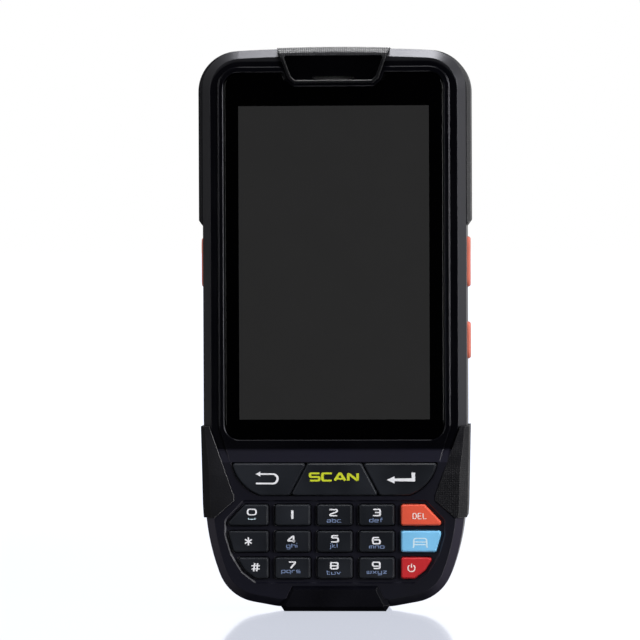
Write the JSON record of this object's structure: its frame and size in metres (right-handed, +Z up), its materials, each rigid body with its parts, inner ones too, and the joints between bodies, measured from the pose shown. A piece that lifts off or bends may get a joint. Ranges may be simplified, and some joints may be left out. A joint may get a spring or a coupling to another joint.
{
  "type": "portable barcode data terminal",
  "caption": "Handheld barcode data terminal with a large screen above a keypad, side scan buttons, rubber grips and a hinged battery door.",
  "frame": {"origin": "under the middle of the foot, on the plane that the terminal stands on, midway between the front of the keys and the back of the head", "axes": "+Z up along the terminal's length, -Y out of the screen and keypad, +X to the right as seen from the front"},
  "size_m": [0.0738, 0.025, 0.1529],
  "materials": {
    "shell": "satin black moulded polycarbonate",
    "gloss_trim": "glossy black inset plate, bare",
    "grip_rubber": "fine-grained soft rubber",
    "seal_rubber": "black gasket rubber",
    "screen_glass": "black-bordered cover glass",
    "display": "dark display panel",
    "reader_glass": "dark red filter window",
    "lens": "coated lens",
    "flash": "milky flash lens",
    "key_plastic": "satin black keytop",
    "key_red": "red keytop",
    "key_blue": "light blue keytop",
    "button_orange": "salmon orange rubberised button",
    "silicone": "translucent grey silicone",
    "circuit_board": "green solder mask",
    "dome_metal": "stainless domes on film",
    "metal": "blackened and plain steel",
    "black_module": "moulded module housing",
    "battery_case": "battery pack case",
    "contact_gold": "gold-plated contacts"
  },
  "bodies": {
    "root": {"battery": "battery_case", "battery_contacts": "contact_gold", "bottom_bumper": "grip_rubber", "camera_bezel": "shell", "camera_lens": "lens", "camera_module": "black_module", "display_panel": "display", "dome_sheet": "dome_metal", "earpiece_mesh": "metal", "flash_lens": "flash", "front_cover": "shell", "glass_gasket": "seal_rubber", "housing_screws": "metal", "housing_seal": "seal_rubber", "keypad_board": "circuit_board", "keypad_mat": "silicone", "left_bumper_pad": "grip_rubber", "left_grip": "grip_rubber", "loudspeaker": "black_module", "main_board": "circuit_board", "rear_cover": "shell", "receiver": "black_module", "right_bumper_pad": "grip_rubber", "right_grip": "grip_rubber", "scan_engine": "black_module", "scan_window": "reader_glass", "side_switches": "black_module", "top_cap": "grip_rubber", "top_cap_plate": "gloss_trim", "touch_glass": "screen_glass", "usb_socket": "metal", "vibration_motor": "metal"},
    "key_0": {"key_0": "key_plastic"},
    "key_1": {"key_1": "key_plastic"},
    "key_2": {"key_2": "key_plastic"},
    "key_3": {"key_3": "key_plastic"},
    "key_delete": {"key_delete": "key_red"},
    "key_star": {"key_star": "key_plastic"},
    "key_4": {"key_4": "key_plastic"},
    "key_5": {"key_5": "key_plastic"},
    "key_6": {"key_6": "key_plastic"},
    "key_menu": {"key_menu": "key_blue"},
    "key_hash": {"key_hash": "key_plastic"},
    "key_7": {"key_7": "key_plastic"},
    "key_8": {"key_8": "key_plastic"},
    "key_9": {"key_9": "key_plastic"},
    "key_power": {"key_power": "key_red"},
    "key_back": {"key_back": "key_plastic"},
    "key_scan": {"key_scan": "key_plastic"},
    "key_enter": {"key_enter": "key_plastic"},
    "left_scan_button": {"left_scan_button": "button_orange"},
    "right_scan_button": {"right_scan_button": "button_orange"},
    "right_side_button": {"right_side_button": "button_orange"},
    "port_cover": {"port_cover": "grip_rubber"},
    "battery_door": {"battery_door": "shell"},
    "left_door_screw": {"left_door_screw": "metal"},
    "right_door_screw": {"right_door_screw": "metal"}
  },
  "joints": [
    {"name": "key_0_press", "type": "slide", "parent": "root", "child": "key_0", "axis": [0, 1, 0], "range_m": [0, 0.0005], "stiffness_N_per_m": 1500},
    {"name": "key_1_press", "type": "slide", "parent": "root", "child": "key_1", "axis": [0, 1, 0], "range_m": [0, 0.0005], "stiffness_N_per_m": 1500},
    {"name": "key_2_press", "type": "slide", "parent": "root", "child": "key_2", "axis": [0, 1, 0], "range_m": [0, 0.0005], "stiffness_N_per_m": 1500},
    {"name": "key_3_press", "type": "slide", "parent": "root", "child": "key_3", "axis": [0, 1, 0], "range_m": [0, 0.0005], "stiffness_N_per_m": 1500},
    {"name": "key_delete_press", "type": "slide", "parent": "root", "child": "key_delete", "axis": [0, 1, 0], "range_m": [0, 0.0005], "stiffness_N_per_m": 1500},
    {"name": "key_star_press", "type": "slide", "parent": "root", "child": "key_star", "axis": [0, 1, 0], "range_m": [0, 0.0005], "stiffness_N_per_m": 1500},
    {"name": "key_4_press", "type": "slide", "parent": "root", "child": "key_4", "axis": [0, 1, 0], "range_m": [0, 0.0005], "stiffness_N_per_m": 1500},
    {"name": "key_5_press", "type": "slide", "parent": "root", "child": "key_5", "axis": [0, 1, 0], "range_m": [0, 0.0005], "stiffness_N_per_m": 1500},
    {"name": "key_6_press", "type": "slide", "parent": "root", "child": "key_6", "axis": [0, 1, 0], "range_m": [0, 0.0005], "stiffness_N_per_m": 1500},
    {"name": "key_menu_press", "type": "slide", "parent": "root", "child": "key_menu", "axis": [0, 1, 0], "range_m": [0, 0.0005], "stiffness_N_per_m": 1500},
    {"name": "key_hash_press", "type": "slide", "parent": "root", "child": "key_hash", "axis": [0, 1, 0], "range_m": [0, 0.0005], "stiffness_N_per_m": 1500},
    {"name": "key_7_press", "type": "slide", "parent": "root", "child": "key_7", "axis": [0, 1, 0], "range_m": [0, 0.0005], "stiffness_N_per_m": 1500},
    {"name": "key_8_press", "type": "slide", "parent": "root", "child": "key_8", "axis": [0, 1, 0], "range_m": [0, 0.0005], "stiffness_N_per_m": 1500},
    {"name": "key_9_press", "type": "slide", "parent": "root", "child": "key_9", "axis": [0, 1, 0], "range_m": [0, 0.0005], "stiffness_N_per_m": 1500},
    {"name": "key_power_press", "type": "slide", "parent": "root", "child": "key_power", "axis": [0, 1, 0], "range_m": [0, 0.0005], "stiffness_N_per_m": 1500},
    {"name": "key_back_press", "type": "slide", "parent": "root", "child": "key_back", "axis": [0, 1, 0], "range_m": [0, 0.0005], "stiffness_N_per_m": 1500},
    {"name": "key_scan_press", "type": "slide", "parent": "root", "child": "key_scan", "axis": [0, 1, 0], "range_m": [0, 0.0005], "stiffness_N_per_m": 1500},
    {"name": "key_enter_press", "type": "slide", "parent": "root", "child": "key_enter", "axis": [0, 1, 0], "range_m": [0, 0.0005], "stiffness_N_per_m": 1500},
    {"name": "left_scan_button_press", "type": "slide", "parent": "root", "child": "left_scan_button", "axis": [1, 0, 0], "range_m": [0, 0.0006], "stiffness_N_per_m": 1500},
    {"name": "right_scan_button_press", "type": "slide", "parent": "root", "child": "right_scan_button", "axis": [-1, 0, 0], "range_m": [0, 0.0006], "stiffness_N_per_m": 1500},
    {"name": "right_side_button_press", "type": "slide", "parent": "root", "child": "right_side_button", "axis": [-1, 0, 0], "range_m": [0, 0.0006], "stiffness_N_per_m": 1500},
    {"name": "port_cover_hinge", "type": "hinge", "parent": "root", "child": "port_cover", "pos_m": [0, 0.0029, 0.0012], "axis": [1, 0, 0], "range_deg": [0, 90], "stiffness_Nm_per_rad": 0.002},
    {"name": "battery_door_hinge", "type": "hinge", "parent": "root", "child": "battery_door", "pos_m": [0, 0.0087, 0.0148], "axis": [-1, 0, 0], "range_deg": [0, 85]},
    {"name": "left_door_screw_turn", "type": "hinge", "parent": "battery_door", "child": "left_door_screw", "pos_m": [-0.0227, 0.0085, 0.0902], "axis": [0, 1, 0], "continuous": true},
    {"name": "right_door_screw_turn", "type": "hinge", "parent": "battery_door", "child": "right_door_screw", "pos_m": [0.0227, 0.0085, 0.0902], "axis": [0, 1, 0], "continuous": true}
  ]
}
